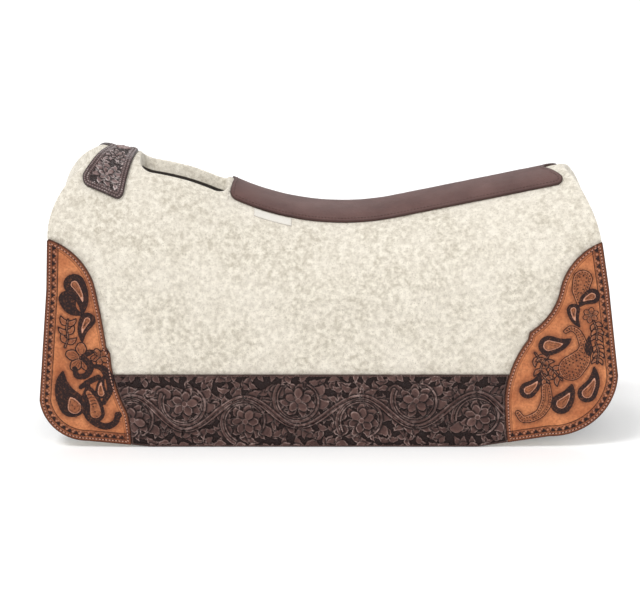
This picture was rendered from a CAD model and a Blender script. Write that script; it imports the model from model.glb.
"""Looks of the Western saddle pad: felt, tooled leathers, spine strip, label and stitching.

Lengths are millimetres until a mesh is made, which turns them into metres. The pad is one
surface: a cross-section, a ridge rolling over into two upright flaps, carried along the spine
line. A point on it is (x, run): x along the spine, and run, the length of felt from the ridge
down to it, positive on the near side. Height above the felt's outer face is called depth.
"""
import math

import bpy
import numpy as np
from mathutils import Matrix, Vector, kdtree


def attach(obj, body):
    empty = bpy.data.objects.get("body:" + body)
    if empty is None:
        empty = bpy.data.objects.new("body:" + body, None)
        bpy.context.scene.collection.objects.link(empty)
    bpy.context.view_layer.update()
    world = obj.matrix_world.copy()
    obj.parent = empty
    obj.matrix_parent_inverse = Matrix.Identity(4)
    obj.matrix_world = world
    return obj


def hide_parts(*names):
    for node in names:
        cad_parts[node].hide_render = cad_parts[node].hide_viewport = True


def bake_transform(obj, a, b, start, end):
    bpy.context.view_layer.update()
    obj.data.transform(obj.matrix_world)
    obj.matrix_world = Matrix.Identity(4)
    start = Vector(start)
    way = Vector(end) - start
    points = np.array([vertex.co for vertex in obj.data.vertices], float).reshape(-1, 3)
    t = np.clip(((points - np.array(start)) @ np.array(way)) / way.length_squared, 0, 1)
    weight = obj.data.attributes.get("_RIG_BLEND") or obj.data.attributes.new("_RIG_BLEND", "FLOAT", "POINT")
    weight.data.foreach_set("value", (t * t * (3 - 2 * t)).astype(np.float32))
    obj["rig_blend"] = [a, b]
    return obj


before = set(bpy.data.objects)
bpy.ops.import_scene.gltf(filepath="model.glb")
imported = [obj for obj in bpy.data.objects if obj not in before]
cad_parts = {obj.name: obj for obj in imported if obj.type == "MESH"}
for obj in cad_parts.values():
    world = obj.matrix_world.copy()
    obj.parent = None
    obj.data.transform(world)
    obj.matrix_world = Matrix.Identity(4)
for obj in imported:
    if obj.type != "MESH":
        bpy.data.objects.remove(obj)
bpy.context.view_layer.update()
MM = 0.001

# -------------------- the pad's surface

HALF_WIDTH = 105.0
RIDGE_RADIUS, RIDGE_SLOPE, SHOULDER_RADIUS = 75.0, math.radians(34), 120.0
SADDLE_LOW, SADDLE_CENTRE, SADDLE_RADIUS = 309.5, 20.0, 345.0
FRONT_FALL, FRONT_RUN, REAR_RISE = math.radians(24), 30.0, math.radians(11.7)
WITHER_RADIUS, WITHER_FALL = 320.0, math.radians(10)
FELT, SKIN, CORNER = 22.0, 3.0, 4.0
GAP = 0.3
SEAM_RIM = 1.0

# The cross-section's slope at each length from the ridge, and the section that it adds up to.
RUNS = np.arange(0.0, 520.0, 0.25)
RIDGE_END = RIDGE_RADIUS * RIDGE_SLOPE
LEVEL = (HALF_WIDTH - RIDGE_RADIUS * math.sin(RIDGE_SLOPE)
         - SHOULDER_RADIUS * (1 - math.sin(RIDGE_SLOPE))) / math.cos(RIDGE_SLOPE)
SHOULDER_START = RIDGE_END + LEVEL
SHOULDER_END = SHOULDER_START + SHOULDER_RADIUS * (math.pi / 2 - RIDGE_SLOPE)
SLOPES = np.interp(RUNS, [0, RIDGE_END, SHOULDER_START, SHOULDER_END],
                   [0, RIDGE_SLOPE, RIDGE_SLOPE, math.pi / 2])


def running_total(values):
    """The integral of a tabled function of the run, from the ridge."""
    steps = (values[1:] + values[:-1]) / 2 * (RUNS[1] - RUNS[0])
    return np.concatenate([[0.0], np.cumsum(steps)])


SECTION_OUT, SECTION_DOWN = running_total(np.cos(SLOPES)), running_total(np.sin(SLOPES))


def spine_height(x):
    """Height of the felt's ridge: withers, fall, dip under the saddle, and rise to the rear."""
    x = np.asarray(x, float)
    dip_start = SADDLE_CENTRE - SADDLE_RADIUS * math.sin(FRONT_FALL)
    dip_end = SADDLE_CENTRE + SADDLE_RADIUS * math.sin(REAR_RISE)
    dip_top = SADDLE_LOW + SADDLE_RADIUS * (1 - math.cos(FRONT_FALL))
    wither_end = dip_start - FRONT_RUN
    wither_low = dip_top + FRONT_RUN * math.tan(FRONT_FALL)
    centre = (wither_end - WITHER_RADIUS * math.sin(FRONT_FALL),
              wither_low - WITHER_RADIUS * math.cos(FRONT_FALL))
    wither_start = centre[0] + WITHER_RADIUS * math.sin(WITHER_FALL)
    wither_top = centre[1] + WITHER_RADIUS * math.cos(WITHER_FALL)
    rear_low = SADDLE_LOW + SADDLE_RADIUS * (1 - math.cos(REAR_RISE))
    hill = np.sqrt(np.maximum(WITHER_RADIUS ** 2 - (x - centre[0]) ** 2, 0))
    dip = np.sqrt(np.maximum(SADDLE_RADIUS ** 2 - (x - SADDLE_CENTRE) ** 2, 0))
    return np.select(
        [x < wither_start, x < wither_end, x < dip_start, x < dip_end],
        [wither_top + (wither_start - x) * math.tan(WITHER_FALL), centre[1] + hill,
         dip_top + (dip_start - x) * math.tan(FRONT_FALL), SADDLE_LOW + SADDLE_RADIUS - dip],
        rear_low + (x - dip_end) * math.tan(REAR_RISE))


def place(flat, depth):
    """Points in the pad's frame from flat points (x, run) and depths."""
    x, run = flat[:, 0], flat[:, 1]
    away = np.abs(run)
    slope = np.interp(away, RUNS, SLOPES)
    out = np.interp(away, RUNS, SECTION_OUT) + depth * np.sin(slope)
    down = np.interp(away, RUNS, SECTION_DOWN) - depth * np.cos(slope)
    return np.stack([x, -np.where(run < 0, -1, 1) * out, spine_height(x) - down], axis=1)


def from_side(points):
    """Flat points from side-view points (x, z). Points above the ridge land on it."""
    drop = np.maximum(spine_height(points[:, 0]) - points[:, 1], 0)
    return np.stack([points[:, 0], np.interp(drop, SECTION_DOWN, RUNS)], axis=1)


def side_height(flat):
    """Side-view points (x, z) of flat points on the felt's outer face."""
    return np.stack([flat[:, 0], spine_height(flat[:, 0])
                     - np.interp(np.abs(flat[:, 1]), RUNS, SECTION_DOWN)], axis=1)


def from_plan(points):
    """Flat points from plan-view points (x, y), for the slopes above the flaps."""
    away = np.interp(np.abs(points[:, 1]), SECTION_OUT[SLOPES < 1.5], RUNS[SLOPES < 1.5])
    return np.stack([points[:, 0], -np.sign(points[:, 1]) * away], axis=1)


# -------------------- curves


def trace(start, steps, spacing=1.0):
    """A dense line through lines and arcs: a step is an end point, or a middle and an end."""
    line = [np.array(start, float)]
    for step in steps:
        here, there = line[-1], np.array(step[-2:], float)
        if len(step) == 2:
            count = max(2, int(np.linalg.norm(there - here) / spacing))
            line += list(here + (there - here) * np.linspace(0, 1, count + 1)[1:, None])
            continue
        middle = np.array(step[:2], float)
        one, two = middle - here, there - here
        turn = 2 * (one[0] * two[1] - one[1] * two[0])
        centre = here + np.array([two[1] * (one @ one) - one[1] * (two @ two),
                                  one[0] * (two @ two) - two[0] * (one @ one)]) / turn
        radius = np.linalg.norm(here - centre)
        first = math.atan2(*(here - centre)[::-1])
        sweep = (math.atan2(*(there - centre)[::-1]) - first) % (2 * math.pi)
        halfway = (math.atan2(*(middle - centre)[::-1]) - first) % (2 * math.pi)
        if halfway > sweep:
            sweep -= 2 * math.pi
        count = max(4, int(abs(sweep) * radius / spacing))
        angles = first + sweep * np.linspace(0, 1, count + 1)[1:]
        line += list(centre + radius * np.stack([np.cos(angles), np.sin(angles)], axis=1))
    return np.array(line)


def smooth(points, spacing=0.8):
    """A Catmull-Rom line through a few hand-chosen points."""
    points = np.array(points, float)
    ends = np.vstack([2 * points[0] - points[1], points, 2 * points[-1] - points[-2]])
    line = []
    for a, b, c, d in zip(ends, ends[1:], ends[2:], ends[3:]):
        count = max(3, int(np.linalg.norm(c - b) / spacing))
        t = np.linspace(0, 1, count, endpoint=False)[:, None]
        line.append(0.5 * (2 * b + (c - a) * t + (2 * a - 5 * b + 4 * c - d) * t ** 2
                           + (3 * b - a - 3 * c + d) * t ** 3))
    return np.vstack(line + [points[-1:]])


def heading(angle):
    """A unit vector at an angle."""
    return np.array([math.cos(angle), math.sin(angle)])


def turned_left(way):
    return np.array([-way[1], way[0]])


def lengths(line):
    """How far along a line each of its points is."""
    return np.concatenate([[0], np.cumsum(np.linalg.norm(np.diff(line, axis=0), axis=1))])


def points_at(line, distances, values=None):
    """The points at some distances along a line, or the values that its points have there."""
    run, values = lengths(line), line if values is None else values
    return np.stack([np.interp(distances, run, values[:, k]) for k in (0, 1)], axis=-1)


def resample(line, count):
    """The same line as a given number of evenly spaced points."""
    return points_at(line, np.linspace(0, lengths(line)[-1], count))


def reach_of(side):
    """The length of a side, which is a list of lines that meet end to end."""
    return sum(lengths(line)[-1] for line in side)


def share(side, count):
    """A side as a given number of points, with one on each corner between its lines."""
    total, points, used = reach_of(side), [], 0
    for index, line in enumerate(side):
        last = index == len(side) - 1
        part = count - 1 - used if last else max(2, round((count - 1) * lengths(line)[-1] / total))
        points.append(resample(line, part + 1)[:None if last else -1])
        used += part
    return np.vstack(points)


def left_of(line, closed=True):
    """Unit vectors to the left of a line. Outlines run down their front and up their rear, so
    that is inward in side view, and outward in flat points, whose run grows downward."""
    if closed:
        along = np.roll(line, -1, axis=0) - np.roll(line, 1, axis=0)
    else:
        along = np.gradient(line, axis=0)
    left = np.stack([-along[:, 1], along[:, 0]], axis=1)
    return left / np.maximum(np.linalg.norm(left, axis=1, keepdims=True), 1e-9)


def inset_steps(loop, sharp=math.radians(35), drawn_in=40.0):
    """The step that moves each point of a flat outline one millimetre inward. Sides between
    sharp corners move square to themselves, and are drawn in near the corners to meet there."""
    ahead, behind = np.roll(loop, -1, axis=0) - loop, loop - np.roll(loop, 1, axis=0)
    turn = np.abs((np.arctan2(ahead[:, 1], ahead[:, 0]) - np.arctan2(behind[:, 1], behind[:, 0])
                   + math.pi) % (2 * math.pi) - math.pi)
    corners = np.flatnonzero(turn > sharp)
    steps = -left_of(loop)
    if not len(corners):
        return steps
    ends = np.append(corners, corners[0] + len(loop))
    runs = [np.arange(a, b + 1) % len(loop) for a, b in zip(ends, ends[1:])]
    square = [-left_of(loop[run], closed=False) for run in runs]
    meet = [(one[-1] + two[0]) / max(1 + one[-1] @ two[0], 0.3)
            for one, two in zip([square[-1]] + square, square)]
    for run, out, first, last in zip(runs, square, meet, meet[1:] + meet[:1]):
        along = lengths(loop[run])[:, None]
        reach = min(drawn_in, along[-1, 0] / 2)
        steps[run] = (out + np.maximum(1 - along / reach, 0) * (first - out[0])
                      + np.maximum(1 - (along[-1] - along) / reach, 0) * (last - out[-1]))
    return steps


def coons(front, rear, ridge, hem):
    """A grid of points that fills four sides, rows from ridge to hem, columns front to rear."""
    v = np.linspace(0, 1, len(front))[:, None, None]
    u = np.linspace(0, 1, len(ridge))[None, :, None]
    ruled = (1 - u) * front[:, None] + u * rear[:, None] + (1 - v) * ridge[None] + v * hem[None]
    twist = ((1 - u) * (1 - v) * front[0] + u * (1 - v) * rear[0]
             + (1 - u) * v * front[-1] + u * v * rear[-1])
    return ruled - twist


# -------------------- meshes


def make_mesh(name, points, faces, mirrored=False, attributes=None):
    """A smooth-shaded object in metres from points in millimetres."""
    points = np.array(points, float) * MM
    if mirrored:
        points[:, 1] *= -1
    mesh = bpy.data.meshes.new(name)
    groups = [np.asarray(group)[:, ::-1] if mirrored else np.asarray(group) for group in faces]
    sizes = np.concatenate([np.full(len(group), group.shape[1]) for group in groups])
    corners = np.concatenate([group.ravel() for group in groups])
    mesh.vertices.add(len(points))
    mesh.vertices.foreach_set("co", points.ravel())
    mesh.loops.add(len(corners))
    mesh.loops.foreach_set("vertex_index", corners)
    mesh.polygons.add(len(sizes))
    mesh.polygons.foreach_set("loop_start", np.concatenate([[0], np.cumsum(sizes)[:-1]]))
    for key, values in (attributes or {}).items():
        mesh.attributes.new(key, "FLOAT", "POINT").data.foreach_set("value", values)
    mesh.update(calc_edges=True)
    mesh.polygons.foreach_set("use_smooth", np.ones(len(sizes), bool))
    mesh.validate()
    piece = bpy.data.objects.new(name, mesh)
    bpy.context.scene.collection.objects.link(piece)
    return piece


def grid_faces(rows, columns):
    """The faces of a grid of points, numbered row by row."""
    corner = np.arange(rows * columns).reshape(rows, columns)
    return np.stack([corner[:-1, :-1], corner[1:, :-1], corner[1:, 1:], corner[:-1, 1:]],
                    axis=-1).reshape(-1, 4)


def around(rows, columns):
    """Indices of a grid's outline: down the front, along the hem, up the rear, back."""
    corner = np.arange(rows * columns).reshape(rows, columns)
    return np.concatenate([corner[:-1, 0], corner[-1, :-1], corner[:0:-1, -1], corner[0, :0:-1]])


def sides_of(loop, rows, columns):
    """The four sides of an outline loop, as coons() takes them."""
    closed = np.vstack([loop, loop[:1]])
    marks = np.cumsum([0, rows - 1, columns - 1, rows - 1, columns - 1])
    front, hem, rear, ridge = [closed[a:b + 1] for a, b in zip(marks, marks[1:])]
    return front, rear[::-1], ridge[::-1], hem


def slab(name, sides, spacing, top, bottom, rim, foot, face_work, mirrored=False,
         plain_back=False):
    """A closed layer of the pad between two depths, with rounded rims and a worked outer face.

    face_work(flat points) gives the outer face's height change and its attributes. A plain back
    spans each row with one face, which suits a layer on the upright flap."""
    front, rear, ridge, hem = sides
    rows = max(8, int(max(reach_of(front), reach_of(rear)) / spacing))
    width = np.linalg.norm(share(front, rows) - share(rear, rows), axis=1).max()
    columns = max(8, int(max(reach_of(ridge), reach_of(hem), width) / spacing))
    loop = np.vstack([share(front, rows)[:-1], share(hem, columns)[:-1],
                      share(rear, rows)[:0:-1], share(ridge, columns)[:0:-1]])
    steps = inset_steps(loop)
    if foot:
        steps[:, 1] *= np.interp(np.abs(loop[:, 1]), [0, 3 * rim], [SEAM_RIM / rim, 1.0])
    fall = np.minimum(np.linalg.norm(steps, axis=1), 1.0)
    face = coons(*sides_of(loop + steps * rim, rows, columns)).reshape(-1, 2)
    change, attributes = face_work(face)
    ring = around(rows, columns)
    points, faces = [place(face, top + change)], [grid_faces(rows, columns)]
    rings = [(rim * (1 - math.cos(a)), top, -rim * (1 - math.sin(a)), math.sin(a))
             for a in np.radians([67, 45, 22, 0])]
    rings.append((0.0, (top + bottom) / 2, 0.0, 0.0))
    rings += [(foot * (1 - math.cos(a)), bottom, foot * (1 - math.sin(a)), 0.0)
              for a in np.radians([0, 30, 60, 90] if foot else [90])]
    total, previous = len(face), ring
    for inward, level, drop, worked in rings:
        points.append(place(loop + steps * inward, level + drop * fall + change[ring] * worked))
        new = total + np.arange(len(ring))
        faces.append(np.stack([previous, new, np.roll(new, -1), np.roll(previous, -1)], axis=1))
        total, previous = total + len(ring), new
    inner = np.ones(len(face), bool)
    inner[ring] = False
    if plain_back:
        inner[:] = False
        left, right, over, under = sides_of(previous[:, None], rows, columns)
        left, right, over, under = left[:, 0], right[:, 0], over[:, 0], under[:, 0]
        faces.append(np.stack([right[1:-2], right[2:-1], left[2:-1], left[1:-2]], axis=1))
        faces.append(np.concatenate([over, [right[1], left[1]]])[None])
        faces.append(np.concatenate([[right[-2]], under[::-1], [left[-2]]])[None])
    else:
        back = coons(*sides_of(loop + steps * foot, rows, columns)).reshape(-1, 2)
        index = np.empty(len(back), int)
        index[ring] = previous
        index[inner] = total + np.arange(inner.sum())
        points.append(place(back[inner], np.full(inner.sum(), bottom)))
        faces.append(index[grid_faces(rows, columns)][:, ::-1])
    spread = {key: np.concatenate([values, np.tile(values[ring], len(rings)),
                                   np.full(inner.sum(), values.mean())])
              for key, values in attributes.items()}
    if foot:
        # The lining shows round the foot's last two rings at the ridge, and the last elsewhere.
        on_ridge = (np.arange(len(ring)) >= 2 * rows + columns - 3).astype(float)
        spread["under"] = np.concatenate([np.zeros(len(face) + (len(rings) - 3) * len(ring)),
                                          np.tile(on_ridge, 2), np.ones(len(ring) + inner.sum())])
    return make_mesh(name, np.vstack(points), faces, mirrored, spread)


# -------------------- tooling leather


# How far from a shape its work reaches, and how wide each trace of it is.
CUT_REACH, WORK_REACH = 1.5, 8.0
PRESS_WIDTH, SMOKE_WIDTH, VEIN_WIDTH = 2.2, 4.5, 0.55
RIM_INSET, RIM_WIDTH = 1.0, 0.5


def step(low, high, values):
    """A smooth rise from 0 at low to 1 at high."""
    t = np.clip((values - low) / (high - low), 0, 1)
    return t * t * (3 - 2 * t)


def bell(distance, width):
    """1 on a line, falling smoothly away from it on both sides."""
    return np.exp(-(distance / width) ** 2)


def raise_to(values, near, amount):
    """Lifts chosen values to an amount, and leaves the ones that are over it."""
    values[near] = np.maximum(values[near], amount)


def scatter(points, scale):
    """Smooth repeatable noise from -1 to 1 over flat points, with features of about a scale."""
    total = np.zeros(len(points))
    turns = np.random.default_rng(11)
    for octave in range(4):
        angle, phase = turns.uniform(0, 2 * math.pi, 2)
        size = scale / 1.7 ** octave
        across, along = points @ heading(angle), points @ turned_left(heading(angle))
        wave = across * 2 * math.pi / size + phase + 1.7 * np.sin(along / size * 4.1)
        total += np.sin(wave) * 0.7 ** octave
    return total / 2.5


class Tooling:
    """The work done on a leather's face, over flat points in its own plane.

    relief is in millimetres. dye is 1 where the leather is dyed dark and below 0 where it is
    pale, smoke is 1 where antique finish has settled, worn is 1 on rims that are rubbed bright,
    and ground is 1 on matted ground."""

    def __init__(self, points, ground=0.0):
        self.points = points
        self.relief = np.full(len(points), -ground)
        self.dye = np.zeros(len(points))
        self.smoke = np.zeros(len(points))
        self.worn = np.zeros(len(points))
        self.ground = np.full(len(points), 1.0 if ground else 0.0)

    def stroke(self, path, radii, reach):
        """Points near a tapered stroke: their indices, depth inside it (negative outside), share
        of the way along it, and signed distance from its middle line."""
        path = np.asarray(path, float)
        radii = np.broadcast_to(np.asarray(radii, float), (len(path),))
        low, high = path.min(0) - radii.max() - reach, path.max(0) + radii.max() + reach
        near = np.flatnonzero(np.all((self.points > low) & (self.points < high), axis=1))
        best = np.full(len(near), -np.inf)
        along, side = np.zeros(len(near)), np.zeros(len(near))
        where = self.points[near]
        for k in range(len(path) - 1):
            run = path[k + 1] - path[k]
            long = max(run @ run, 1e-9)
            offset = where - path[k]
            t = np.clip(offset @ run / long, 0, 1)
            gap = np.hypot(offset[:, 0] - t * run[0], offset[:, 1] - t * run[1])
            depth = radii[k] + (radii[k + 1] - radii[k]) * t - gap
            better = depth > best
            best[better] = depth[better]
            along[better] = (k + t[better]) / (len(path) - 1)
            cross = run[0] * offset[:, 1] - run[1] * offset[:, 0]
            side[better] = (cross / math.sqrt(long))[better]
        keep = best > -reach
        return near[keep], best[keep], along[keep], side[keep]

    def carve(self, path, radii, crown=0.0, dish=0.0, vein=0.0, cut=0.6, wide=0.6, press=0.0,
              dye=None, stain=0.0, smoke=0.0):
        """A shape cut round its edge, pressed down outside, and rounded up or sunk inside."""
        near, depth, along, side = self.stroke(
            path, radii, WORK_REACH if press or smoke else CUT_REACH)
        inside, out = depth > 0, np.maximum(-depth, 0)
        if press:
            low = -press * bell(out, PRESS_WIDTH)
            self.relief[near] = np.where(inside, self.relief[near],
                                         np.minimum(self.relief[near], low - 0.15))
        swell = crown * step(0.0, 1.2, depth) - dish * step(1.2, 4.5, depth)
        if vein:
            swell -= vein * bell(side, VEIN_WIDTH) * step(0.02, 0.15, along)
        self.relief[near[inside]] = swell[inside]
        self.ground[near[inside]] = 0.0
        rim = bell(depth - RIM_INSET, RIM_WIDTH) * step(0.1, 0.4, crown)
        self.worn[near] = np.where(inside, rim, self.worn[near])
        self.relief[near] -= cut * bell(depth, wide)
        if dye is not None:
            self.dye[near] = np.where(depth > -0.3, dye, self.dye[near])
        if stain:
            raise_to(self.dye, near, stain * bell(depth, wide))
        if smoke:
            raise_to(self.smoke, near, smoke * bell(out, SMOKE_WIDTH))

    def groove(self, path, depth=0.6, width=0.6, dye=0.0):
        """A line pressed into the face, darker if dyed."""
        near, inside, _, _ = self.stroke(path, 0.0, width * 3)
        line = bell(inside, width)
        self.relief[near] -= depth * line
        raise_to(self.dye, near, dye * line)

    def shade(self, path, width, amount, soft):
        """Antique finish along a line, out to a width from it, with a soft end."""
        near, depth, _, _ = self.stroke(path, width, 0.5)
        raise_to(self.smoke, near, amount * step(-0.5, soft, depth))

    def dot(self, centre, radius, height=-0.5, dye=0.0):
        """A round stamp."""
        near, depth, _, _ = self.stroke([centre, np.asarray(centre) + [1e-3, 0]], radius, 0.5)
        self.relief[near] += height * step(-0.3, radius * 0.7, depth)
        inside = step(-0.3, 0.3, depth)
        self.dye[near] = self.dye[near] * (1 - inside) + dye * inside

    def attributes(self, edge):
        return {"relief": self.relief, "dye": self.dye, "smoke": self.smoke,
                "worn": self.worn, "ground": self.ground, "edge": edge}


# How deep each kind of shape is carved, and how it is finished.
CARVED = dict(crown=1.1, dish=0.5, cut=0.8, press=1.0)
UNDYED = dict(crown=0.5, cut=0.9, wide=0.85, vein=0.4, stain=1.0, smoke=1.0)
OUTLINED = dict(crown=0.3, cut=0.9, wide=0.9, stain=1.0, smoke=0.9)
DYED = dict(crown=-0.35, cut=0.6, dye=1.0, smoke=0.9)


def nearest(points, line):
    """How far each point is from a dense line."""
    tree = kdtree.KDTree(len(line))
    for index, point in enumerate(line):
        tree.insert((point[0], point[1], 0), index)
    tree.balance()
    return np.array([tree.find((x, y, 0))[2] for x, y in points])


def taper(count, widest, start=0.25, peak=0.35, end=0.05):
    """Radii of a leaf: a share of its widest at each end, widest part of the way along."""
    t = np.linspace(0, 1, count)
    return widest * np.interp(t, [0, peak * 0.5, peak, 0.75, 1], [start, 0.8, 1, 0.55, end])


def spiral(centre, outer, inner, start, turns, count=60):
    """A scroll that winds in to a centre: angles in turns, counter-clockwise if positive."""
    t = np.linspace(0, 1, count)
    radius = outer + (inner - outer) * t ** 0.9
    angle = 2 * math.pi * (start + turns * t)
    return np.array(centre) + radius[:, None] * np.stack([np.cos(angle), np.sin(angle)], axis=1)


def bowed(start, end, bow, count=26):
    """A line between two points, bowed to its left by a share of its length."""
    start, end = np.array(start, float), np.array(end, float)
    run = end - start
    t = np.linspace(0, 1, count)[:, None]
    return start + run * t + turned_left(run) * bow * np.sin(math.pi * t)


def leaf(work, root, tip, width, bow=0.2, lobes=0, **how):
    """A bowed leaf with scalloped edges."""
    radii = taper(26, width / 2)
    if lobes:
        radii = radii * (1 - 0.3 * np.abs(np.sin(math.pi * lobes * np.linspace(0, 1, 26))) ** 3)
    work.carve(bowed(root, tip, bow), radii, **how)


def flower(work, centre, radius, petals=6, turn=0.0, **how):
    """A wild rose: overlapping petals round a domed, seeded centre."""
    centre = np.array(centre, float)
    for index in range(petals):
        angle = turn + 2 * math.pi * index / petals
        line = centre + heading(angle) * np.linspace(0.2, 0.78, 8)[:, None] * radius
        radii = radius * np.interp(np.linspace(0, 1, 8), [0, 0.7, 1], [0.12, 0.36, 0.28])
        work.carve(line, radii, **how)
        for shift in (-0.3, 0.0, 0.3):
            work.groove(centre + heading(angle + shift) * np.array([[0.36], [0.66]]) * radius,
                        0.35, 0.4, how.get("stain", 0.0))
    work.carve([centre, centre + [0.01, 0]], radius * 0.25, crown=0.7, cut=0.6)
    for index in range(6):
        seed = heading(turn + 2 * math.pi * index / 5) * radius * 0.14 * (index < 5)
        work.dot(centre + seed, 0.7, -0.45, how.get("stain", 0.0))


def rosette(work, centre, leaves, turn, near, far, width):
    """Leaves that stand out all round a centre."""
    for index in range(leaves):
        out = heading(turn + 2 * math.pi * index / leaves)
        leaf(work, centre + out * near, centre + out * far, width, bow=0.25, lobes=3, vein=0.4,
             **CARVED)



# The leaves that fan out round each scroll's flower: how far each reaches, and its angle.
FAN = ((30, 2.75), (34, 2.2), (36, 1.65), (36, 1.1), (34, 0.55), (31, 0.0), (30, -0.6), (30, 3.5))


def carve_scrolls(work, low, high, pitch, size):
    """Floral carving along a band: leaves cover the ground, and over them run scrolls that curl
    round flowers, turned up and down in turn, with a vine between them."""
    middle, half = (low[1] + high[1]) / 2, (high[1] - low[1]) / 2
    bends = int((high[0] - low[0]) / pitch) + 2
    turns = np.random.default_rng(5)
    centres = np.array([[low[0] + (index + 0.5) * pitch + turns.uniform(-7, 7),
                         middle + (0.22 if index % 2 else -0.22) * half + turns.uniform(-4, 4)]
                        for index in range(-1, bends)])
    for x in np.arange(low[0], high[0], 12.5):
        for row, z in enumerate(np.arange(low[1] + 3, high[1] + 4, 11.0)):
            root = np.array([x + 6.0 * (row % 2), z]) + turns.uniform(-1.5, 1.5, 2)
            away = root - centres[np.argmin(np.linalg.norm(centres - root, axis=1))]
            angle = math.atan2(away[1], away[0]) + (0.9 if row % 2 else -0.7)
            angle += turns.uniform(-0.3, 0.3)
            tip = root + turns.uniform(15, 19) * heading(angle)
            leaf(work, root, tip, turns.uniform(8, 10), bow=turns.choice([-0.25, 0.25]), lobes=3,
                 vein=0.5, crown=0.6, dish=0.3, cut=0.8, press=0.5)
    for index, centre in enumerate(centres):
        up = 1 if index % 2 else -1
        flip = np.array([1, up])
        for reach, angle in FAN:
            out = heading(angle) * flip
            leaf(work, centre + out * 17 * size, centre + out * reach * size, 12 * size,
                 bow=0.3 * up, lobes=4, vein=0.5, **CARVED)
        begin = 0.6 + turns.uniform(-0.08, 0.08)
        for outer, width in ((25.0, 2.0), (21.5, 1.0)):
            line = spiral((0, 0), outer * size, outer * 0.74 * size, begin, -0.78) * flip + centre
            work.carve(line, np.linspace(width, width * 0.5, len(line)) * size, **CARVED)
        rosette(work, centre, 7, index, 8 * size, 18 * size, 9 * size)
        flower(work, centre, 12.5 * size, petals=5 + index % 2, turn=0.7 * index, **CARVED)
    for index, (one, two) in enumerate(zip(centres, centres[1:])):
        up = 1 if index % 2 else -1
        reach = 26 * size * up
        t = np.linspace(0, 1, 60)[:, None]
        swing = (1 - np.cos(math.pi * t)) / 2
        top, foot = one + [0, reach], two - [0, reach]
        vine = np.hstack([top[0] + t * (foot[0] - top[0]), top[1] + swing * (foot[1] - top[1])])
        for shift, width in ((0.0, 2.4), (3.9, 1.0)):
            line = vine - left_of(vine, closed=False) * shift
            work.carve(line, np.interp(np.linspace(0, 1, len(line)), [0, 0.5, 1],
                                       [0.5, 1.0, 0.5]) * width * size, **CARVED)


# -------------------- outlines

FINE = 0.25
HEM_FRONT, HEM_REAR = (-323.5, 8.5), (296.0, 15.0)
HEM = trace(HEM_FRONT, [(-236.0, 0.0), (200.0, 0.0), HEM_REAR], FINE)
FRONT_EDGE = trace((-285.0, 405.0), [
    (-326.0, 374.0), (-353.0, 343.5, -368.5, 284.0), (-371.5, 219.0), (-385.5, 66.0),
    (-368.5, 28.0) + HEM_FRONT], FINE)
REAR_EDGE = trace(HEM_REAR, [
    (361.5, 42.0, 385.5, 100.0), (369.5, 219.0), (359.0, 280.0),
    (346.0, 324.0, 326.0, 357.0), (284.0, 388.0)], FINE)[::-1]
FRONT_INNER = trace((-369.0, 288.0), [
    (-332.0, 265.0, -309.0, 227.0), (-301.0, 185.0, -294.5, 139.0), (-289.5, 130.0),
    (-283.5, 88.0, -268.5, 47.0), (-265.0, 20.0, -265.0, -20.0)], FINE)
REAR_INNER = trace((361.0, 283.0), [
    (323.0, 257.0, 305.0, 218.0), (292.0, 185.0, 266.5, 160.0), (264.0, 149.0),
    (242.0, 105.0, 235.5, 66.0), (237.5, 33.0, 244.0, -20.0)], FINE)
BAND_TOP = 101.0
TIP = 3.0


def hem_height(x):
    return np.interp(x, HEM[:, 0], HEM[:, 1])


def above_hem(line):
    return line[line[:, 1] >= hem_height(line[:, 0])]


def on_pad(line):
    """The stretch of a side-view line that is below the ridge."""
    return line[line[:, 1] <= spine_height(line[:, 0])]


def hem_between(start, end):
    """The lower edge from one point to another, both on it."""
    inside = HEM[(HEM[:, 0] > start[0] + FINE) & (HEM[:, 0] < end[0] - FINE)]
    return np.vstack([start, inside, end])


def bar(start, end):
    return trace(start, [end], FINE)


def flat_sides(front, rear, ridge, hem):
    """A layer's four sides, each a list of side-view lines, carried over to flat points."""
    return [[from_side(line) for line in side] for side in (front, rear, ridge, hem)]


def corner_sides(front, rear, hem):
    """A corner leather: both of its sides start at a tip, which is cut a little blunt."""
    front, rear = front[lengths(front) >= TIP], rear[lengths(rear) >= TIP]
    return flat_sides([front], [rear], [bar(front[0], rear[0])], [hem])


front_inner, rear_inner = above_hem(FRONT_INNER), above_hem(REAR_INNER)
FRONT_CORNER = corner_sides(
    FRONT_EDGE[FRONT_EDGE[:, 1] <= 288.0], front_inner, hem_between(HEM_FRONT, front_inner[-1]))
REAR_CORNER = corner_sides(
    rear_inner, REAR_EDGE[REAR_EDGE[:, 1] <= 283.0], hem_between(rear_inner[-1], HEM_REAR))
band_front = front_inner[front_inner[:, 1] <= BAND_TOP] + [0.4, 0]
band_rear = rear_inner[rear_inner[:, 1] <= BAND_TOP] - [0.4, 0]
SIDE_BAND = flat_sides([band_front], [band_rear], [bar(band_front[0], band_rear[0])],
                       [hem_between(band_front[-1], band_rear[-1])])

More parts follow.
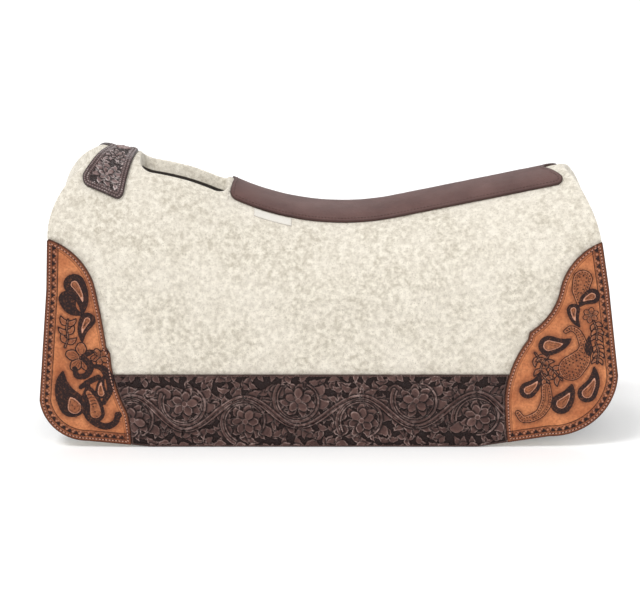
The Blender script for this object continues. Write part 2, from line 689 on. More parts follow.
SLOT_FRONT, SLOT_REAR, SLOT_SIDE, SLOT_CORNER = -250.0, -136.0, 43.0, 16.0
slot_line = from_plan(trace((SLOT_FRONT, -1e-3), [
    (SLOT_FRONT, -SLOT_SIDE + SLOT_CORNER),
    (SLOT_FRONT + SLOT_CORNER * 0.293, -SLOT_SIDE + SLOT_CORNER * 0.293,
     SLOT_FRONT + SLOT_CORNER, -SLOT_SIDE),
    (SLOT_REAR - SLOT_CORNER, -SLOT_SIDE),
    (SLOT_REAR - SLOT_CORNER * 0.293, -SLOT_SIDE + SLOT_CORNER * 0.293,
     SLOT_REAR, -SLOT_SIDE + SLOT_CORNER),
    (SLOT_REAR, -1e-3)], FINE))
front_edge, rear_edge = on_pad(FRONT_EDGE), on_pad(REAR_EDGE)
FELT_HALF = flat_sides([front_edge], [rear_edge], [], [HEM])
felt_front, felt_rear = FELT_HALF[0][0], FELT_HALF[1][0]
felt_front[0, 1] = felt_rear[0, 1] = 0.0
FELT_HALF[2] = [bar(felt_front[0], (SLOT_FRONT, 0.0)), slot_line,
                bar((SLOT_REAR, 0.0), felt_rear[0])]


def rounded(corners, radius):
    """A dense closed outline through plan-view corners, each rounded, in flat points."""
    points = np.array(corners, float)
    steps = []
    for index, corner in enumerate(points):
        back, ahead = points[index - 1] - corner, points[(index + 1) % len(points)] - corner
        back, ahead = back / np.linalg.norm(back), ahead / np.linalg.norm(ahead)
        half_turn = math.acos(back @ ahead) / 2
        middle_way = (back + ahead) / np.linalg.norm(back + ahead)
        centre = corner + middle_way * radius / math.sin(half_turn)
        run = radius / math.tan(half_turn)
        steps += [tuple(corner + back * run), tuple(centre - middle_way * radius)
                  + tuple(corner + ahead * run)]
    return from_plan(trace(steps[-1][2:], steps, FINE))


def quarter(loop, corners):
    """Splits a closed outline at its points nearest to four corners: front-off, rear-off,
    rear-near and front-near. Gives the four sides of a layer."""
    marks = [int(np.argmin(np.linalg.norm(loop - from_plan(np.array([corner], float)), axis=1)))
             for corner in corners]
    ring = np.roll(loop[:-1], -marks[0], axis=0)
    marks = [(mark - marks[0]) % len(ring) for mark in marks]
    ring = np.vstack([ring, ring[:1]])
    if marks[1] > marks[3]:
        ring, marks = ring[::-1], [(len(ring) - 1 - mark) % (len(ring) - 1) for mark in marks]
    off, rear, near, front = [ring[a:b + 1] for a, b in zip(marks, marks[1:] + [len(ring) - 1])]
    return [front[::-1]], [rear], [off], [near[::-1]]


STRIP_SIDE, STRIP_FRONT, STRIP_NOTCH, STRIP_TAIL = 45.5, -126.0, 288.0, 318.0
strip_corners = [(STRIP_FRONT - 6, STRIP_SIDE), (STRIP_TAIL, STRIP_SIDE),
                 (STRIP_TAIL, -STRIP_SIDE), (STRIP_FRONT - 6, -STRIP_SIDE)]
STRIP = quarter(rounded([strip_corners[3], strip_corners[2], (STRIP_NOTCH, 0), strip_corners[1],
                         strip_corners[0], (STRIP_FRONT, 0)], 8.0), strip_corners)
patch_corners = [(-328.0, 74.0), (-270.5, 84.0), (-270.5, -84.0), (-328.0, -74.0)]
PATCH = quarter(rounded([patch_corners[3], patch_corners[2], (-255.0, 0), patch_corners[1],
                         patch_corners[0], (-291.0, 0)], 9.0), patch_corners)
LABEL_FRONT, LABEL_REAR, LABEL_NEAR, LABEL_FAR = -99.0, -49.0, -47.3, -58.3
LABEL = [[from_plan(bar(start, end))] for start, end in (
    ((LABEL_FRONT, LABEL_NEAR), (LABEL_FRONT, LABEL_FAR)),
    ((LABEL_REAR, LABEL_NEAR), (LABEL_REAR, LABEL_FAR)),
    ((LABEL_FRONT, LABEL_NEAR), (LABEL_REAR, LABEL_NEAR)),
    ((LABEL_FRONT, LABEL_FAR), (LABEL_REAR, LABEL_FAR)))]


def loop_of(sides):
    """A dense outline of a layer, in the order of around()."""
    front, rear, ridge, hem = [np.vstack(side) for side in sides]
    loop = np.vstack([front, hem, rear[::-1], ridge[::-1]])
    keep = np.linalg.norm(np.roll(loop, -1, axis=0) - loop, axis=1) > 1e-6
    loop = loop[keep]
    return resample(np.vstack([loop, loop[:1]]), max(60, int(reach_of([loop]) / 0.5)))[:-1]


def inset(sides, distance):
    """The outline moved inward, closed, with the knots that sharp corners leave taken out."""
    loop = loop_of(sides)
    moved = loop - left_of(loop) * distance
    moved = moved[nearest(moved, loop) > distance * 0.97]
    return np.vstack([moved, moved[:1]])


# -------------------- what each face carries


def edge_of(flat, sides):
    """Distance to the layer's outline, as far as its shading needs it."""
    return np.minimum(nearest(flat, loop_of(sides)), 40.0)


def contour(line, radii, inset_by):
    """The outline of a tapered stroke, moved inward, from its tip round its bulb and back."""
    way = np.gradient(line, axis=0)
    way /= np.linalg.norm(way, axis=1, keepdims=True)
    normal = np.stack([-way[:, 1], way[:, 0]], axis=1)
    reach = np.maximum(radii - inset_by, 0)[:, None]
    turns = np.linspace(math.pi / 2, 3 * math.pi / 2, 24)[1:-1, None]
    cap = line[0] + reach[0] * (np.cos(turns) * way[0] + np.sin(turns) * normal[0])
    keep = reach[:, 0] > 0.3
    return np.vstack([(line + normal * reach)[keep][::-1], cap, (line - normal * reach)[keep]])


def dotted(work, line, pitch, radius, dye, height=-0.4):
    """A row of stamps along a line."""
    for point in resample(line, max(2, int(lengths(line)[-1] / pitch))):
        work.dot(point, radius, height, dye)


def teardrop(work, bulb, tip, radius, bow=0.12, heart=0.5, core=True, via=()):
    """A dyed teardrop with a curved tail round a raised heart that has a pale rim."""
    line = smooth([bulb, *via, tip]) if len(via) else bowed(bulb, tip, bow)
    t = np.linspace(0, 1, len(line))
    work.carve(line, radius * (1 - t) ** 0.8 + 0.5, **DYED)
    if not heart:
        return
    inner = line[:int(len(line) * 0.64)]
    radii = radius * heart * (1 - np.linspace(0, 1, len(inner))) ** 0.75 + 0.3
    work.carve(inner, radii, crown=0.35, cut=0.5, dye=-1.0)
    inside = radii - 2.0
    work.carve(inner[inside > 0], inside[inside > 0], crown=0.2, cut=0.4, dye=-0.1, stain=0.6)
    if core:
        work.groove(inner[2:int(len(inner) * 0.5)], 0.4, 0.7, dye=0.7)


def seeded(work, line, radii, pitch=3.7):
    """An undyed paisley: raised, with a seed row inside its outline and seeds within that."""
    work.carve(line, radii, crown=0.5, cut=0.8, dye=-0.35, stain=1.0, smoke=0.9)
    dotted(work, contour(line, radii, 2.6), pitch, 0.95, 1.0, -0.6)
    work.groove(contour(line, radii, 4.9), 0.4, 0.55, 0.85)
    for inner in (7.2, 11.4):
        rows = radii > inner + 1.2
        if rows.sum() > 3:
            dotted(work, contour(line[rows], radii[rows], inner), pitch * 1.25, 1.15, 1.0, -0.6)


def scroll(work, points, widest, narrow, knob=0.0):
    """A tapering scroll through a few points, with a round knob at its end."""
    line = smooth(points)
    radii = np.interp(np.linspace(0, 1, len(line)), [0, 0.35, 1], [narrow, widest, narrow * 1.4])
    work.carve(line, radii, **DYED)
    if knob:
        work.carve([line[-1], line[-1] + 0.01], knob, **DYED)


BORDER, STAMP_PITCH, STAMP_INSET = 15.0, 10.6, 9.8
STITCH_INSET, STITCH_PITCH, STITCH_LENGTH = 4.2, 4.4, 2.9


def border(work, edge_line, inner_line):
    """The stamped border along a corner's outer edge: a groove frames it, and dark stamps stand
    between pale seeds. The inner edge has a groove beside its stitching."""
    inside = left_of(edge_line, closed=False)
    work.shade(edge_line[::12], BORDER, 0.95, 1.0)

    def stamp_place(distance):
        way = points_at(edge_line, distance, inside)
        return points_at(edge_line, distance) + way * STAMP_INSET, way

    frame_line = edge_line + inside * BORDER
    work.groove(frame_line[::8], 0.6, 0.6, dye=0.9)
    for distance in np.arange(8.0, lengths(edge_line)[-1] - 4, STAMP_PITCH):
        point, way = stamp_place(distance)
        across = turned_left(way)
        work.carve([point - way * 0.6, point + way * 1.2], [2.2, 1.0], crown=-0.6, cut=0.3,
                   dye=1.0)
        for flank in (-1, 1):
            work.dot(point + across * flank * 2.7 - way * 2.4, 0.9, -0.5, 0.95)
            work.dot(point + across * flank * 2.9 + way * 2.2, 1.1, 0.25, -0.45)
        centre, _ = stamp_place(distance + STAMP_PITCH / 2)
        work.groove(spiral(centre, 2.6, 2.6, 0.0, 1.0, 14), 0.5, 0.55, dye=0.6)
        work.dot(centre, 1.1, 0.25, -0.5)
    outside = left_of(inner_line, closed=False)
    work.groove((inner_line - outside * 8.0)[::8], 0.4, 0.6, dye=0.45)
    work.shade(inner_line[::12], 7.5, 0.8, 2.5)


def needle_holes(work, sides):
    """Dark dimples where a corner leather's stitches go in."""
    line = inset(sides, STITCH_INSET)
    at, pitch = stitch_places(line, STITCH_PITCH)
    for hole in side_height(points_at(line, at + (STITCH_LENGTH + pitch) / 2)):
        work.dot(hole, 0.9, -0.5, 1.0)


def sprig(work, stem, reach, width, count):
    """Paired leaves along a stem, undyed, with dark cuts."""
    line = smooth(stem)
    for index in range(count):
        at = int((index + 0.6) / count * (len(line) - 2))
        way = line[at + 1] - line[at]
        way = way / np.linalg.norm(way)
        for side in (-1, 1):
            out = way * 0.75 + side * turned_left(way) * 0.8
            leaf(work, line[at], line[at] + out * reach, width, bow=0.15 * side, **UNDYED)
    work.carve(line, 1.0, **UNDYED)


def front_corner_face(flat):
    work = Tooling(side_height(flat))
    down = FRONT_EDGE[(FRONT_EDGE[:, 1] <= 284.0)][:-1]
    border(work, np.vstack([down, hem_between(HEM_FRONT, front_inner[-1])]), front_inner)
    sprig(work, [(-349, 140), (-345, 152), (-346, 166), (-344, 178)], 12.5, 8.0, 3)
    for centre, radius, turn in (((-328, 125), 20.0, 0.3), ((-303, 126), 12.0, 0.8)):
        flower(work, centre, radius, petals=5, turn=turn, **OUTLINED)
    for bulb, tip, radius, bow, heart in (((-344, 206), (-325, 185), 10.8, -0.2, 0),
                                          ((-334, 226), (-325, 185), 13.6, 0.12, 0.33),
                                          ((-318.5, 177), (-326, 147), 9.8, -0.1, 0.36)):
        teardrop(work, bulb, tip, radius, bow, heart)
    scroll(work, [(-314, 133), (-325, 126), (-316, 114), (-322, 101), (-334, 100), (-337, 110)],
           4.4, narrow=2.4)
    scroll(work, [(-314, 114), (-301, 111), (-292, 98), (-291, 80), (-300, 62)], 5.6, narrow=2.0)
    scroll(work, [(-330, 84), (-318, 92), (-306, 98)], 3.8, narrow=2.5)
    teardrop(work, (-303, 76), (-298, 100), 7.0, bow=0.1, heart=0.55)
    teardrop(work, (-342, 60), (-353, 106), 17.2, bow=0, heart=0, via=[(-351, 74), (-355, 90)])
    teardrop(work, (-339, 56), (-351, 76), 10.0, bow=-0.1, heart=0.86, core=False)
    dotted(work, bowed((-339, 54), (-347, 69), 0.0), 4.2, 1.0, 0.9)
    dotted(work, bowed((-335, 58), (-343, 71), 0.0), 4.6, 0.8, 0.9)
    scroll(work, [(-320, 86), (-326, 62), (-318, 40), (-300, 29), (-286, 34), (-281, 45)], 5.0,
           narrow=2.6, knob=4.4)
    teardrop(work, (-312, 48), (-320, 86), 12.5, bow=-0.08, heart=0)
    cell = bowed((-311, 48), (-320, 76), -0.08)
    work.carve(cell, np.linspace(7.6, 3.6, len(cell)), crown=0.4, cut=0.5, dye=-0.5, stain=0.6)
    for share_up in (0.45, 0.62, 0.79, 0.94):
        rung = cell[int(share_up * 25)]
        work.groove([rung + [-3.6, -1.0], rung + [0, 0.8], rung + [3.6, 0.2]], 0.6, 0.8, 0.95)
    dotted(work, bowed((-309, 43), (-314, 57), 0.0), 4.0, 1.1, 0.95)
    needle_holes(work, FRONT_CORNER)
    return work.relief, work.attributes(edge_of(flat, FRONT_CORNER))


def rear_corner_face(flat):
    work = Tooling(side_height(flat))
    up = REAR_EDGE[REAR_EDGE[:, 1] <= 279.0][::-1][1:]
    border(work, np.vstack([hem_between(rear_inner[-1], HEM_REAR), up]), rear_inner[::-1])
    flower(work, (346, 184), 10.0, petals=6, turn=0.4, crown=0.3, cut=0.7, wide=0.7, stain=0.8,
           smoke=0.9)
    for stem, reach, width, count in (
            ([(350, 176), (355, 164), (355, 150)], 10.0, 5.6, 3),
            ([(354, 146), (358, 134), (357, 118)], 9.0, 5.2, 3),
            ([(274, 132), (284, 118), (297, 110), (311, 94)], 12.5, 7.0, 4),
            ([(292, 128), (284, 116), (283, 104), (294, 90)], 11.0, 6.6, 3)):
        sprig(work, stem, reach, width, count)
    tail = smooth([(290, 84), (291, 64), (281, 46), (262, 39), (253, 48)])
    seeded(work, tail, np.interp(np.linspace(0, 1, len(tail)), [0, 0.3, 1], [6.0, 7.6, 3.4]))
    top = smooth([(334, 233), (331, 218), (330, 200)])
    seeded(work, top, np.interp(np.linspace(0, 1, len(top)), [0, 0.4, 1], [12.5, 11.0, 2.5]))
    for bulb, tip, radius, bow, heart in (((347, 210), (331, 196), 9.8, -0.12, 0.44),
                                          ((323, 191), (332, 168), 8.0, -0.1, 0.42)):
        teardrop(work, bulb, tip, radius, bow, heart)
    middle = smooth([(323, 111), (335, 124), (338, 140), (331, 159), (321, 166), (314, 162)])
    seeded(work, middle, np.interp(np.linspace(0, 1, len(middle)), [0, 0.22, 0.45, 1],
                                   [17.0, 13.5, 5.6, 2.8]))
    teardrop(work, (292, 142), (321, 151), 13.0, bow=-0.1, heart=0.52)
    leaf(work, (346.5, 129), (345, 155), 11, bow=0.05, crown=-0.2, cut=0.6, dye=1.0, vein=0.4,
         smoke=0.9)
    for bulb, tip, radius, bow, heart in (((345, 76), (353, 112), 12.2, -0.12, 0.54),
                                          ((311, 61), (324, 88), 13.6, -0.1, 0.46),
                                          ((266, 80), (281, 104), 10.8, -0.14, 0.46)):
        teardrop(work, bulb, tip, radius, bow, heart)
    needle_holes(work, REAR_CORNER)
    return work.relief, work.attributes(edge_of(flat, REAR_CORNER))


def rail(work, edge, width):
    """Leaves a plain rail along the edge of a carved face."""
    plain = step(width + 0.8, width, edge)
    work.relief *= 1 - plain
    work.ground *= 1 - plain


def side_band_face(flat):
    """Carving from edge to edge, with only a thin plain rail."""
    work = Tooling(side_height(flat), ground=1.3)
    carve_scrolls(work, (-300.0, 0.0), (250.0, 100.0), 76.0, 1.35)
    edge = edge_of(flat, SIDE_BAND)
    rail(work, edge, 1.6)
    return work.relief, work.attributes(edge)


def patch_face(flat):
    """A panel of flowers and leaves inside a border of seeds, alike on both sides."""
    work = Tooling(np.stack([flat[:, 0], np.abs(flat[:, 1])], axis=1), ground=1.1)
    turns = np.random.default_rng(9)
    for x in np.arange(-326, -254, 9.0):
        for run in np.arange(0, 100, 9.0):
            angle = turns.uniform(0, 2 * math.pi)
            root = np.array([x, run]) + turns.uniform(-1.5, 1.5, 2)
            leaf(work, root, root + 13 * heading(angle), 6.5, bow=0.25, lobes=3, vein=0.4,
                 crown=0.6, cut=0.7, press=0.4)
    for centre, size in (((-281, 28), 0.74), ((-292, 66), 0.95)):
        centre = np.array(centre, float)
        rosette(work, centre, 8, 0.5, 7 * size, 21 * size, 10 * size)
        flower(work, centre, 11 * size, petals=6, turn=0.3, **CARVED)
    leaf(work, (-286, 0), (-262, 2), 9, bow=0.1, lobes=3, vein=0.4, **CARVED)
    edge = edge_of(flat, PATCH)
    rail(work, edge, 8.6)
    work.dye = step(9.4, 8.4, edge)
    work.points = flat
    for distance, pitch in ((2.6, 3.3), (6.6, 3.1)):
        dotted(work, inset(PATCH, distance), pitch, 1.05, 0.25, 0.35)
    return work.relief, work.attributes(edge)


def plain_face(sides, rise, scale):
    """An untooled face: a slight unevenness, as leather or tape lies on felt."""
    def relief(flat):
        change = rise * scatter(flat, scale)
        return change, {"edge": edge_of(flat, sides)}
    return relief


PRESSED_BY = [FRONT_CORNER, REAR_CORNER, SIDE_BAND, STRIP, PATCH]


def felt_face(flat):
    """Felt that undulates a little, is bumpy with tufts, and sinks where leather is sewn on."""
    wave, tuft, sink, sink_width = 0.45, 0.12, 0.9, 6.0
    change = wave * scatter(flat, 75.0) + tuft * scatter(flat, 13.0)
    leather = np.vstack([loop_of(sides) for sides in PRESSED_BY])
    change -= sink * bell(nearest(flat, leather), sink_width) * step(10.0, 50.0, flat[:, 1])
    return change, {"edge": edge_of(flat, FELT_HALF)}


# -------------------- stitches


def capsules(name, starts, ends, radius, depth, mirrored=False, arch=0.5):
    """Stitches from flat start to end points: rounded bars that rise out of their holes."""
    t = np.array([0.0, 0.12, 0.35, 0.65, 0.88, 1.0])
    girth = radius * np.array([0.3, 0.85, 1.0, 1.0, 0.85, 0.3])
    lift = radius * np.array([-1.2, 0.0, arch, arch, 0.0, -1.2])
    turns = np.linspace(0, 2 * math.pi, 7)[:-1]
    run = ends - starts
    way = run / np.linalg.norm(run, axis=1, keepdims=True)
    across = np.stack([-way[:, 1], way[:, 0]], axis=1)
    flat = (starts[:, None, None] + run[:, None, None] * t[None, :, None, None]
            + across[:, None, None] * (girth[:, None] * np.cos(turns))[None, :, :, None])
    height = depth + lift[:, None] + girth[:, None] * np.sin(turns)
    height = np.broadcast_to(height, flat.shape[:3])
    points = place(flat.reshape(-1, 2), height.reshape(-1))
    rings, sides = len(t), len(turns)
    one = np.arange(rings * sides).reshape(rings, sides)
    tube = np.stack([one[:-1], np.roll(one, -1, axis=1)[:-1], np.roll(one, -1, axis=1)[1:],
                     one[1:]], axis=-1).reshape(-1, 4)
    shift = (np.arange(len(starts)) * rings * sides)[:, None, None]
    caps = np.stack([one[0][::-1], one[-1]])
    return make_mesh(name, points, [(tube[None] + shift).reshape(-1, 4)[:, ::-1],
                                    (caps[None] + shift).reshape(-1, sides)[:, ::-1]], mirrored)


def stitch_places(line, pitch):
    """Where stitches start along a line, and the pitch that divides it evenly."""
    whole = lengths(line)[-1]
    count = max(2, round(whole / pitch))
    return np.arange(count) * whole / count, whole / count


def stitch_line(name, line, pitch, length, radius, depth, mirrored=False):
    """A row of separate stitches along a flat line."""
    at = stitch_places(line, pitch)[0]
    return capsules(name, points_at(line, at), points_at(line, at + length), radius, depth,
                    mirrored)


# -------------------- materials


class Shader:
    """One material's node tree. Its noises and cells have a scale of about so many to a metre."""

    def __init__(self, name, roughness, sheen=0.0, coat=0.0, specular=0.5):
        self.material = bpy.data.materials.new(name)
        self.material.use_nodes = True
        self.tree = self.material.node_tree
        self.surface = self.tree.nodes["Principled BSDF"]
        self.surface.inputs["Roughness"].default_value = roughness
        self.surface.inputs["Sheen Weight"].default_value = sheen
        self.surface.inputs["Coat Weight"].default_value = coat
        self.surface.inputs["Coat Roughness"].default_value = 0.3
        self.surface.inputs["Specular IOR Level"].default_value = specular
        self.place = self.add("ShaderNodeTexCoord").outputs["Object"]

    def add(self, kind, **inputs):
        node = self.tree.nodes.new(kind)
        for key, value in inputs.items():
            self.feed(node.inputs[key.replace("_", " ")], value)
        return node

    def feed(self, socket, value):
        if isinstance(value, bpy.types.NodeSocket):
            self.tree.links.new(value, socket)
        else:
            socket.default_value = value

    def noise(self, scale, detail=3.0, rough=0.55, stretch=None):
        """A noise over the piece, stretched by an amount for each axis if given."""
        where = self.place
        if stretch:
            where = self.add("ShaderNodeMapping", Vector=self.place, Scale=stretch).outputs[0]
        return self.add("ShaderNodeTexNoise", Vector=where, Scale=scale, Detail=detail,
                        Roughness=rough).outputs["Fac"]

    def cells(self, scale):
        """How far each place is from the middle of its cell."""
        return self.add("ShaderNodeTexVoronoi", Vector=self.place, Scale=scale).outputs["Distance"]

    def attribute(self, name):
        """A value that a slab's face work gave to its points."""
        node = self.add("ShaderNodeAttribute")
        node.attribute_name = name
        return node.outputs["Fac"]

    def span(self, value, low, high, to_low=0.0, to_high=1.0):
        """A value carried from one range to another, and held at its ends."""
        return self.add("ShaderNodeMapRange", Value=value, From_Min=low, From_Max=high,
                        To_Min=to_low, To_Max=to_high).outputs["Result"]

    def math(self, kind, a, b=0.0):
        node = self.tree.nodes.new("ShaderNodeMath")
        node.operation = kind
        self.feed(node.inputs[0], a)
        self.feed(node.inputs[1], b)
        return node.outputs[0]

    def mix(self, share_of_second, first, second):
        node = self.tree.nodes.new("ShaderNodeMix")
        node.data_type = "RGBA"
        self.feed(node.inputs["Factor"], share_of_second)
        for socket, value in zip([s for s in node.inputs if s.type == "RGBA"], (first, second)):
            self.feed(socket, value)
        return next(s for s in node.outputs if s.type == "RGBA")

    def colour(self, value):
        self.feed(self.surface.inputs["Base Color"], value)
        self.base = value

    def paint(self, value, low, high, most, over):
        """Lays a colour over the base, from none where a value is low to the most where high."""
        self.colour(self.mix(self.span(value, low, high, 0.0, most), self.base, over))

    def bump(self, height, distance, strength):
        """Fine relief of a depth in metres, on top of any that is there."""
        last = self.surface.inputs["Normal"].links
        node = self.add("ShaderNodeBump", Height=height, Distance=distance, Strength=strength)
        if last:
            self.tree.links.new(last[0].from_socket, node.inputs["Normal"])
        self.tree.links.new(node.outputs[0], self.surface.inputs["Normal"])


def rgb(red, green, blue):
    """A linear colour from the usual 0 to 255 values."""
    def channel(value):
        value /= 255
        return value / 12.92 if value <= 0.04045 else ((value + 0.055) / 1.055) ** 2.4
    return (channel(red), channel(green), channel(blue), 1.0)


def felt_material():
    look = Shader("wool_felt", 0.95, sheen=0.25)
    blotch = look.noise(150, 4.0, 0.68)
    cloud = look.noise(17, 3.0, 0.5)
    fleck = look.noise(520, 2.0, 0.6)
    look.colour(look.mix(look.span(blotch, 0.34, 0.64), rgb(194, 185, 168), rgb(243, 236, 221)))
    look.paint(cloud, 0.40, 0.68, 0.38, rgb(248, 241, 228))
    look.paint(fleck, 0.58, 0.72, 0.55, rgb(166, 154, 138))
    lining = look.mix(look.span(blotch, 0.34, 0.64), rgb(46, 38, 33), rgb(72, 62, 54))
    look.paint(look.attribute("under"), 0.35, 0.65, 1.0, lining)
    fibre = look.noise(420, 4.0, 0.7, stretch=(1.0, 2.2, 2.2))
    look.bump(fibre, 0.0012, 0.6)
    look.bump(look.noise(1400, 2.0, 0.6), 0.0006, 0.6)
    return look.material


def tan_material():
    look = Shader("tan_tooled_leather", 0.42, specular=0.18)
    grain = look.noise(34, 4.0, 0.6)
    look.colour(look.mix(look.span(grain, 0.3, 0.7), rgb(177, 104, 65), rgb(218, 142, 94)))
    look.paint(look.noise(300, 3.0), 0.42, 0.72, 0.5, rgb(128, 70, 46))
    mottle = look.span(look.noise(260, 4.0, 0.7), 0.32, 0.66, 0.35, 1.0)
    smoke = look.math("MULTIPLY", look.attribute("smoke"), mottle)
    look.paint(smoke, 0.0, 1.0, 0.9, rgb(96, 52, 38))
    relief = look.attribute("relief")
    look.paint(relief, -0.1, -0.7, 0.85, rgb(66, 34, 26))
    edge = look.attribute("edge")
    look.paint(edge, 8.0, 4.5, 0.4, rgb(92, 50, 37))
    look.paint(edge, 2.6, 0.4, 0.9, rgb(52, 28, 24))
    tint = look.attribute("dye")
    look.paint(tint, -0.1, -0.9, 0.8, rgb(222, 166, 142))
    dye = look.math("MULTIPLY", tint, look.span(look.noise(420, 3.0, 0.7), 0.34, 0.58, 0.5, 1.0))
    look.paint(dye, 0.1, 0.8, 0.96, rgb(32, 21, 23))
    worn = look.math("MULTIPLY", look.attribute("worn"), look.span(look.noise(240), 0.4, 0.6))
    look.paint(worn, 0.0, 1.0, 0.5, rgb(214, 154, 124))
    look.feed(look.surface.inputs["Roughness"], look.span(look.noise(90), 0.3, 0.7, 0.34, 0.5))
    look.bump(look.cells(900), 0.0004, 0.35)
    look.bump(look.noise(380, 4.0, 0.7), 0.0006, 0.5)
    return look.material


def dark_material(name, low, high, rim, specular):
    """Dark tooled leather: shaded cuts, tone from low to high, and rims rubbed to a pale tone."""
    look = Shader(name, 0.34, specular=specular)
    tone = look.noise(60, 4.0, 0.6)
    look.colour(look.mix(look.span(tone, 0.3, 0.7), low, high))
    relief = look.attribute("relief")
    look.paint(relief, 0.0, -1.0, 0.9, rgb(24, 12, 11))
    look.paint(relief, 0.5, 1.2, 0.45, rgb(120, 92, 84))
    rubbed = look.math("MULTIPLY", look.span(look.noise(130, 3.0, 0.6), 0.42, 0.64),
                       look.span(look.noise(24, 2.0, 0.5), 0.36, 0.64, 0.25, 1.0))
    worn = look.math("MULTIPLY", look.attribute("worn"), rubbed)
    look.paint(worn, 0.0, 0.9, 0.85, rim)
    look.paint(look.attribute("edge"), 1.6, 0.2, 0.85, rgb(22, 14, 13))
    look.paint(look.attribute("dye"), 0.2, 1.0, 0.9, rgb(44, 27, 26))
    look.feed(look.surface.inputs["Roughness"], look.span(look.noise(120), 0.3, 0.7, 0.24, 0.42))
    stipple = look.math("MULTIPLY", look.cells(620), look.attribute("ground"))
    look.bump(stipple, 0.0014, 0.9)
    look.bump(look.noise(420, 4.0, 0.65), 0.0007, 0.5)
    return look.material


def strip_material():
    look = Shader("spine_leather", 0.5, specular=0.3)
    tone = look.noise(26, 4.0, 0.6)
    look.colour(look.mix(look.span(tone, 0.3, 0.7), rgb(84, 56, 52), rgb(104, 74, 69)))
    look.paint(look.attribute("edge"), 2.6, 0.3, 0.85, rgb(48, 29, 27))
    look.paint(look.noise(420, 3.0), 0.5, 0.8, 0.35, rgb(62, 40, 37))
    look.bump(look.cells(760), 0.0005, 0.5)
    look.bump(look.noise(150, 4.0, 0.65), 0.0009, 0.4)
    return look.material


def label_material():
    look = Shader("woven_tape", 0.6, sheen=0.2)
    weave = look.math("MULTIPLY", look.span(look.noise(1500, 1.0), 0.2, 0.8),
                      look.span(look.cells(1200), 0.0, 0.6))
    look.colour(look.mix(weave, rgb(236, 232, 224), rgb(214, 208, 198)))
    look.paint(look.attribute("edge"), 0.9, 0.2, 0.6, rgb(150, 140, 128))
    look.bump(weave, 0.0004, 0.6)
    return look.material


def thread_material(name, colour, shade):
    look = Shader(name, 0.7, sheen=0.15)
    ply = look.noise(1100, 2.0, 0.5)
    look.colour(look.mix(look.span(ply, 0.3, 0.7), colour, shade))
    look.bump(ply, 0.0004, 0.6)
    return look.material


FELT_LOOK, TAN_LOOK = felt_material(), tan_material()
DARK_LOOK = dark_material("dark_tooled_leather", rgb(70, 46, 42), rgb(100, 73, 67),
                          rgb(190, 162, 154), 0.22)
PATCH_LOOK = dark_material("tooled_patch_leather", rgb(100, 76, 73), rgb(144, 120, 117),
                           rgb(226, 212, 208), 0.4)
STRIP_LOOK, LABEL_LOOK = strip_material(), label_material()
DARK_THREAD = thread_material("dark_thread", rgb(58, 38, 33), rgb(84, 58, 50))
RUST_THREAD = thread_material("rust_thread", rgb(166, 112, 92), rgb(206, 156, 134))
PALE_THREAD = thread_material("pale_thread", rgb(214, 206, 190), rgb(238, 232, 220))

# -------------------- the pieces


BEND = 0.075
GRAIN = 0.72
UNDER_FLAP, UNDER_RIDGE = -0.4, -0.3


def finish_piece(piece, look, body, node, bends=False):
    """Gives a piece its material, its place in the record and the body that it moves with."""
    piece.data.materials.append(look)
    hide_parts(node)
    if bends:
        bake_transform(piece, "off_side", "near_side", start=(0, BEND, 0), end=(0, -BEND, 0))
    else:
        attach(piece, body)


def sew_down(names, nodes, body, sides, layer, look, row, thread_look,
             mirrored=False, bends=False):
    """A worked layer and the row of stitches that holds it, each in place of one CAD node.

    layer is its point spacing, top, bottom, rim and face. row is the stitches' inset, pitch,
    length, radius, and height over the top. A layer that doesn't bend lies on a flap."""
    spacing, top, bottom, rim, face = layer
    inward, pitch, length, radius, lift = row
    piece = slab(names[0], sides, spacing, top, bottom, rim, 0, face, mirrored,
                 plain_back=not bends)
    finish_piece(piece, look, body, nodes[0], bends)
    thread = stitch_line(names[1], inset(sides, inward), pitch, length, radius, top + lift,
                         mirrored)
    finish_piece(thread, thread_look, body, nodes[1], bends)


for side, mirrored in (("near", False), ("off", True)):
    body = side + "_side"
    felt = slab("felt_pad_" + side, FELT_HALF, spacing=4.0, top=0.0, bottom=-FELT, rim=4.0,
                foot=4.0, face_work=felt_face, mirrored=mirrored)
    finish_piece(felt, FELT_LOOK, body, "felt_" + side, bends=True)
    for corner, sides, face in (("front_corner", FRONT_CORNER, front_corner_face),
                                ("rear_corner", REAR_CORNER, rear_corner_face)):
        sew_down((f"{corner}_leather_{side}", f"{corner}_stitches_{side}"),
                 (f"{corner}_{side}", f"{corner}_stitching_{side}"), body, sides,
                 (GRAIN, CORNER, UNDER_FLAP, 0.8, face), TAN_LOOK,
                 (STITCH_INSET, STITCH_PITCH, STITCH_LENGTH, 0.8, 0.1), RUST_THREAD,
                 mirrored=mirrored)
    sew_down((f"wear_leather_{side}", f"wear_leather_stitches_{side}"),
             (f"side_leather_{side}", f"side_leather_stitching_{side}"), body, SIDE_BAND,
             (0.8, SKIN, UNDER_FLAP, 0.7, side_band_face), DARK_LOOK,
             (1.9, 4.2, 3.1, 0.45, -0.1), DARK_THREAD, mirrored=mirrored)

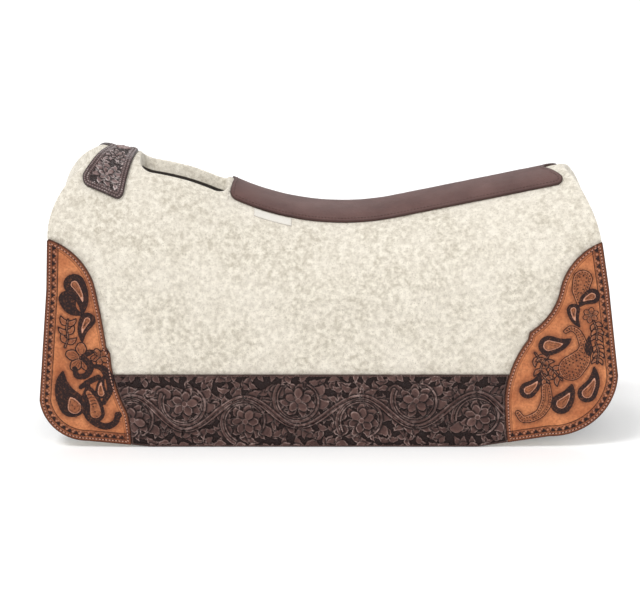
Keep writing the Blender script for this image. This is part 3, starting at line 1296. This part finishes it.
sew_down(("spine_strip_leather", "spine_strip_stitches"), ("spine_strip", "spine_strip_stitching"),
         "off_side", STRIP, (2.2, GAP + SKIN, UNDER_RIDGE, 1.1, plain_face(STRIP, 0.18, 55.0)),
         STRIP_LOOK, (5.0, 4.4, 3.3, 0.5, -0.1), DARK_THREAD, bends=True)
sew_down(("wither_patch_leather", "wither_patch_stitches"),
         ("wither_patch", "wither_patch_stitching"),
         "off_side", PATCH, (GRAIN, GAP + SKIN, UNDER_RIDGE, 0.8, patch_face),
         PATCH_LOOK, (4.6, 4.2, 3.0, 0.5, -0.1), DARK_THREAD, bends=True)
sew_down(("blank_tape_label", "blank_label_stitches"), ("blank_label", "blank_label_stitching"),
         "near_side", LABEL, (0.9, 1.0, -0.2, 0.3, plain_face(LABEL, 0.12, 14.0)),
         LABEL_LOOK, (1.4, 2.6, 1.8, 0.22, 0.0), PALE_THREAD,
         bends=True)

# Cross stitches that close the seam on the underside, where the ridge turns more tightly.
SEAM_PITCH, SEAM_RUN = 12.0, 14.0
crossings = np.concatenate([np.arange(-292, SLOT_FRONT - 16, SEAM_PITCH),
                            np.arange(SLOT_REAR + 6, 282, SEAM_PITCH)])
lean = np.where(np.arange(len(crossings)) % 2, SEAM_RUN, -SEAM_RUN)
thread = capsules("spine_seam_stitches", np.stack([crossings, -lean], axis=1),
                  np.stack([crossings + SEAM_PITCH - 2, lean], axis=1), 0.7, -FELT - 0.3, arch=-0.4)
finish_piece(thread, PALE_THREAD, "off_side", "spine_seam_thread", bends=True)

# -------------------- stage

DISTANCE, LOOK_DOWN = 3.0, math.radians(16)
FRAME_WIDTH = 0.8448
AIM = Vector((-0.0112, -0.105, 0.195))


def aim(thing, target):
    thing.rotation_euler = (target - thing.location).to_track_quat("-Z", "Y").to_euler()


camera_data = bpy.data.cameras.new("camera")
camera_data.sensor_fit = "HORIZONTAL"
camera_data.sensor_width = 36.0
camera_data.lens = 36.0 * DISTANCE / FRAME_WIDTH
camera = bpy.data.objects.new("camera", camera_data)
bpy.context.scene.collection.objects.link(camera)
camera.location = AIM + DISTANCE * Vector((0, -math.cos(LOOK_DOWN), math.sin(LOOK_DOWN)))
aim(camera, AIM)
bpy.context.scene.camera = camera

bpy.ops.mesh.primitive_plane_add(size=120.0, location=(0, 0, -0.0005))
floor = bpy.context.object
floor.name = "floor"
floor_look = Shader("pale_floor", 0.9)
floor_look.colour(floor_look.mix(floor_look.noise(3.0), rgb(250, 250, 250), rgb(247, 247, 247)))
floor_look.surface.inputs["Emission Color"].default_value = (1, 1, 1, 1)
floor_look.surface.inputs["Emission Strength"].default_value = 0.12
floor.data.materials.append(floor_look.material)

world = bpy.data.worlds.new("studio")
bpy.context.scene.world = world
world.use_nodes = True
world.node_tree.nodes["Background"].inputs["Color"].default_value = (1, 1, 1, 1)
world.node_tree.nodes["Background"].inputs["Strength"].default_value = 0.62
for name, spot, power, spread in (("key", (-1.2, -1.1, 3.0), 1.5, 22),
                                  ("fill", (1.8, -2.0, 1.4), 0.25, 40),
                                  ("back", (0.3, 2.0, 2.4), 0.7, 30)):
    light = bpy.data.lights.new(name, "SUN")
    light.energy, light.angle = power, math.radians(spread)
    lamp = bpy.data.objects.new(name, light)
    bpy.context.scene.collection.objects.link(lamp)
    lamp.location = Vector(spot)
    aim(lamp, Vector((0, 0, 0.2)))
bpy.context.scene.view_settings.view_transform = "Standard"
